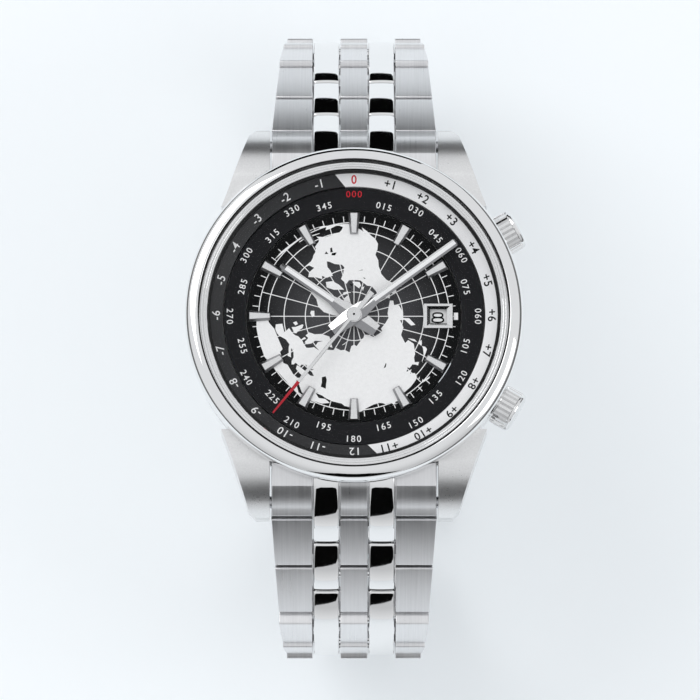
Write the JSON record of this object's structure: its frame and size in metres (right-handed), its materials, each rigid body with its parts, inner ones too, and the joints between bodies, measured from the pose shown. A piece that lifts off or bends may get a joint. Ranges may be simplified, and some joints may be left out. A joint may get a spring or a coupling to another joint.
{
  "type": "world time watch",
  "caption": "Automatic world time wristwatch with a turning outer ring, two crowns and a five-column steel bracelet on a fold-over clasp.",
  "frame": {"origin": "on the hands' axis at the outer face of the case back's crystal", "axes": "+Z out of the dial, +Y towards 12 o'clock, +X towards 3 o'clock; the closed bracelet hangs below"},
  "size_m": [0.0424, 0.0797, 0.0557],
  "materials": {
    "brushed_steel": "satin",
    "polished_steel": "mirror polished",
    "sapphire": "clear",
    "dial_black": "sunray",
    "ring_white": "matt printed",
    "movement_brass": "satin",
    "movement_nickel": "satin",
    "holder_plastic": "matt"
  },
  "bodies": {
    "case": {"case_middle": "brushed_steel", "bezel": "polished_steel", "crystal": "sapphire", "case_back": "brushed_steel", "back_crystal": "sapphire", "hour_ring": "ring_white", "movement_ring": "holder_plastic", "main_plate": "movement_nickel", "train_bridge": "movement_nickel", "balance_cock": "movement_nickel", "dial": "dial_black", "hour_markers": "polished_steel", "date_frame": "polished_steel", "spring_bars": "movement_nickel", "end_link_12": "brushed_steel", "end_link_6": "brushed_steel"},
    "city_ring": {"city_ring": "ring_white"},
    "ring_crown": {"crown_2": "polished_steel", "stem_2": "movement_nickel"},
    "setting_lever": {"setting_lever": "movement_nickel"},
    "time_crown": {"crown_4": "polished_steel", "stem_4": "movement_nickel"},
    "minute_hand": {"minute_hand": "polished_steel", "cannon_pinion": "movement_nickel"},
    "hour_hand": {"hour_hand": "polished_steel", "hour_wheel": "movement_brass"},
    "seconds_hand": {"seconds_hand": "polished_steel", "seconds_wheel": "movement_brass"},
    "date_disc": {"date_disc": "dial_black"},
    "barrel": {"mainspring_barrel": "movement_brass"},
    "rotor": {"rotor": "movement_nickel"},
    "balance": {"balance_wheel": "movement_brass"},
    "row_12_1": {"row_12_1": "brushed_steel"},
    "row_12_2": {"row_12_2": "brushed_steel"},
    "row_12_3": {"row_12_3": "brushed_steel"},
    "row_12_4": {"row_12_4": "brushed_steel"},
    "row_12_5": {"row_12_5": "brushed_steel"},
    "row_12_6": {"row_12_6": "brushed_steel"},
    "row_12_7": {"row_12_7": "brushed_steel"},
    "row_12_8": {"row_12_8": "brushed_steel"},
    "row_6_1": {"row_6_1": "brushed_steel"},
    "row_6_2": {"row_6_2": "brushed_steel"},
    "row_6_3": {"row_6_3": "brushed_steel"},
    "row_6_4": {"row_6_4": "brushed_steel"},
    "row_6_5": {"row_6_5": "brushed_steel"},
    "row_6_6": {"row_6_6": "brushed_steel"},
    "row_6_7": {"row_6_7": "brushed_steel"},
    "clasp_inner_blade": {"clasp_inner_blade": "brushed_steel"},
    "clasp_outer_blade": {"clasp_outer_blade": "brushed_steel"},
    "clasp_cover": {"clasp_cover": "brushed_steel"},
    "clasp_button_right": {"clasp_button_right": "brushed_steel"},
    "clasp_button_left": {"clasp_button_left": "brushed_steel"}
  },
  "joints": [
    {"name": "city_ring_turn", "type": "hinge", "parent": "case", "child": "city_ring", "pos_m": [0, 0, 0.008], "axis": [0, 0, 1], "continuous": true},
    {"name": "ring_crown_turn", "type": "hinge", "parent": "case", "child": "ring_crown", "pos_m": [0.01559, 0.009, 0.005], "axis": [0.866, 0.5, 0], "continuous": true},
    {"name": "time_crown_pull", "type": "slide", "parent": "case", "child": "setting_lever", "axis": [0.866, -0.5, 0], "range_m": [0, 0.0016]},
    {"name": "time_crown_turn", "type": "hinge", "parent": "setting_lever", "child": "time_crown", "pos_m": [0.01559, -0.009, 0.005], "axis": [0.866, -0.5, 0], "continuous": true},
    {"name": "minute_turn", "type": "hinge", "parent": "case", "child": "minute_hand", "pos_m": [0, 0, 0.0094], "axis": [0, 0, 1], "continuous": true},
    {"name": "hour_turn", "type": "hinge", "parent": "case", "child": "hour_hand", "pos_m": [0, 0, 0.009], "axis": [0, 0, 1], "continuous": true},
    {"name": "seconds_turn", "type": "hinge", "parent": "case", "child": "seconds_hand", "pos_m": [0, 0, 0.0098], "axis": [0, 0, 1], "continuous": true},
    {"name": "date_turn", "type": "hinge", "parent": "case", "child": "date_disc", "pos_m": [0, 0, 0.007], "axis": [0, 0, 1], "continuous": true},
    {"name": "barrel_turn", "type": "hinge", "parent": "case", "child": "barrel", "pos_m": [-0.0062, 0.0048, 0.004], "axis": [0, 0, 1], "continuous": true},
    {"name": "rotor_turn", "type": "hinge", "parent": "case", "child": "rotor", "pos_m": [0, 0, 0.002], "axis": [0, 0, 1], "continuous": true},
    {"name": "balance_swing", "type": "hinge", "parent": "case", "child": "balance", "pos_m": [0.006, -0.0062, 0.0035], "axis": [0, 0, 1], "range_deg": [-135, 135]},
    {"name": "bracelet_12_hinge_1", "type": "hinge", "parent": "case", "child": "row_12_1", "pos_m": [0, 0.0249, 0.0002], "axis": [1, 0, 0], "range_deg": [0, 5]},
    {"name": "bracelet_12_hinge_2", "type": "hinge", "parent": "row_12_1", "child": "row_12_2", "pos_m": [0, 0.03013, -0.00503], "axis": [1, 0, 0], "range_deg": [0, 3]},
    {"name": "bracelet_12_hinge_3", "type": "hinge", "parent": "row_12_2", "child": "row_12_3", "pos_m": [0, 0.03508, -0.01053], "axis": [1, 0, 0], "range_deg": [0, 18]},
    {"name": "bracelet_12_hinge_4", "type": "hinge", "parent": "row_12_3", "child": "row_12_4", "pos_m": [0, 0.03809, -0.01729], "axis": [1, 0, 0], "range_deg": [0, 11]},
    {"name": "bracelet_12_hinge_5", "type": "hinge", "parent": "row_12_4", "child": "row_12_5", "pos_m": [0, 0.03976, -0.0245], "axis": [1, 0, 0], "range_deg": [0, 21]},
    {"name": "bracelet_12_hinge_6", "type": "hinge", "parent": "row_12_5", "child": "row_12_6", "pos_m": [0, 0.03873, -0.03183], "axis": [1, 0, 0], "range_deg": [0, 32]},
    {"name": "bracelet_12_hinge_7", "type": "hinge", "parent": "row_12_6", "child": "row_12_7", "pos_m": [0, 0.03397, -0.0375], "axis": [1, 0, 0], "range_deg": [0, 26]},
    {"name": "bracelet_12_hinge_8", "type": "hinge", "parent": "row_12_7", "child": "row_12_8", "pos_m": [0, 0.02721, -0.04051], "axis": [1, 0, 0], "range_deg": [0, 18]},
    {"name": "bracelet_6_hinge_1", "type": "hinge", "parent": "case", "child": "row_6_1", "pos_m": [0, -0.0249, 0.0002], "axis": [-1, 0, 0], "range_deg": [0, 5]},
    {"name": "bracelet_6_hinge_2", "type": "hinge", "parent": "row_6_1", "child": "row_6_2", "pos_m": [0, -0.03013, -0.00503], "axis": [-1, 0, 0], "range_deg": [0, 3]},
    {"name": "bracelet_6_hinge_3", "type": "hinge", "parent": "row_6_2", "child": "row_6_3", "pos_m": [0, -0.03508, -0.01053], "axis": [-1, 0, 0], "range_deg": [0, 31]},
    {"name": "bracelet_6_hinge_4", "type": "hinge", "parent": "row_6_3", "child": "row_6_4", "pos_m": [0, -0.0365, -0.0178], "axis": [-1, 0, 0], "range_deg": [0, 13]},
    {"name": "bracelet_6_hinge_5", "type": "hinge", "parent": "row_6_4", "child": "row_6_5", "pos_m": [0, -0.03624, -0.02519], "axis": [-1, 0, 0], "range_deg": [0, 22]},
    {"name": "bracelet_6_hinge_6", "type": "hinge", "parent": "row_6_5", "child": "row_6_6", "pos_m": [0, -0.03323, -0.03195], "axis": [-1, 0, 0], "range_deg": [0, 22]},
    {"name": "bracelet_6_hinge_7", "type": "hinge", "parent": "row_6_6", "child": "row_6_7", "pos_m": [0, -0.0279, -0.03709], "axis": [-1, 0, 0], "range_deg": [0, 24]},
    {"name": "bracelet_6_hinge_8", "type": "hinge", "parent": "row_6_7", "child": "clasp_inner_blade", "pos_m": [0, -0.02095, -0.03962], "axis": [-1, 0, 0], "range_deg": [0, 20]},
    {"name": "clasp_fold", "type": "hinge", "parent": "clasp_inner_blade", "child": "clasp_outer_blade", "pos_m": [0, 0.0145, -0.04005], "axis": [1, 0, 0], "range_deg": [0, 110]},
    {"name": "clasp_cover_fold", "type": "hinge", "parent": "clasp_outer_blade", "child": "clasp_cover", "pos_m": [0, -0.0145, -0.0415], "axis": [-1, 0, 0], "range_deg": [0, 110]},
    {"name": "clasp_button_right_press", "type": "slide", "parent": "clasp_cover", "child": "clasp_button_right", "axis": [-1, 0, 0], "range_m": [0, 0.0006], "stiffness_N_per_m": 400, "springref_m": -0.002},
    {"name": "clasp_button_left_press", "type": "slide", "parent": "clasp_cover", "child": "clasp_button_left", "axis": [1, 0, 0], "range_m": [0, 0.0006], "stiffness_N_per_m": 400, "springref_m": -0.002}
  ],
  "couplings": [
    {"joint": "ring_crown_turn", "follows": "city_ring_turn", "ratio": -6},
    {"joint": "hour_turn", "follows": "minute_turn", "ratio": 0.083333},
    {"joint": "seconds_turn", "follows": "minute_turn", "ratio": 60},
    {"joint": "date_turn", "follows": "minute_turn", "ratio": 0.0013441},
    {"joint": "barrel_turn", "follows": "minute_turn", "ratio": -0.125},
    {"joint": "bracelet_12_hinge_1", "follows": "bracelet_12_hinge_2", "ratio": 1.6667},
    {"joint": "bracelet_12_hinge_3", "follows": "bracelet_12_hinge_2", "ratio": 6},
    {"joint": "bracelet_12_hinge_4", "follows": "bracelet_12_hinge_2", "ratio": 3.6667},
    {"joint": "bracelet_12_hinge_5", "follows": "bracelet_12_hinge_2", "ratio": 7},
    {"joint": "bracelet_12_hinge_6", "follows": "bracelet_12_hinge_2", "ratio": 10.667},
    {"joint": "bracelet_12_hinge_7", "follows": "bracelet_12_hinge_2", "ratio": 8.6667},
    {"joint": "bracelet_12_hinge_8", "follows": "bracelet_12_hinge_2", "ratio": 6},
    {"joint": "bracelet_6_hinge_1", "follows": "bracelet_6_hinge_2", "ratio": 1.6667},
    {"joint": "bracelet_6_hinge_3", "follows": "bracelet_6_hinge_2", "ratio": 10.333},
    {"joint": "bracelet_6_hinge_4", "follows": "bracelet_6_hinge_2", "ratio": 4.3333},
    {"joint": "bracelet_6_hinge_5", "follows": "bracelet_6_hinge_2", "ratio": 7.3333},
    {"joint": "bracelet_6_hinge_6", "follows": "bracelet_6_hinge_2", "ratio": 7.3333},
    {"joint": "bracelet_6_hinge_7", "follows": "bracelet_6_hinge_2", "ratio": 8},
    {"joint": "bracelet_6_hinge_8", "follows": "bracelet_6_hinge_2", "ratio": 6.6667},
    {"joint": "clasp_cover_fold", "follows": "clasp_fold", "ratio": 1}
  ]
}
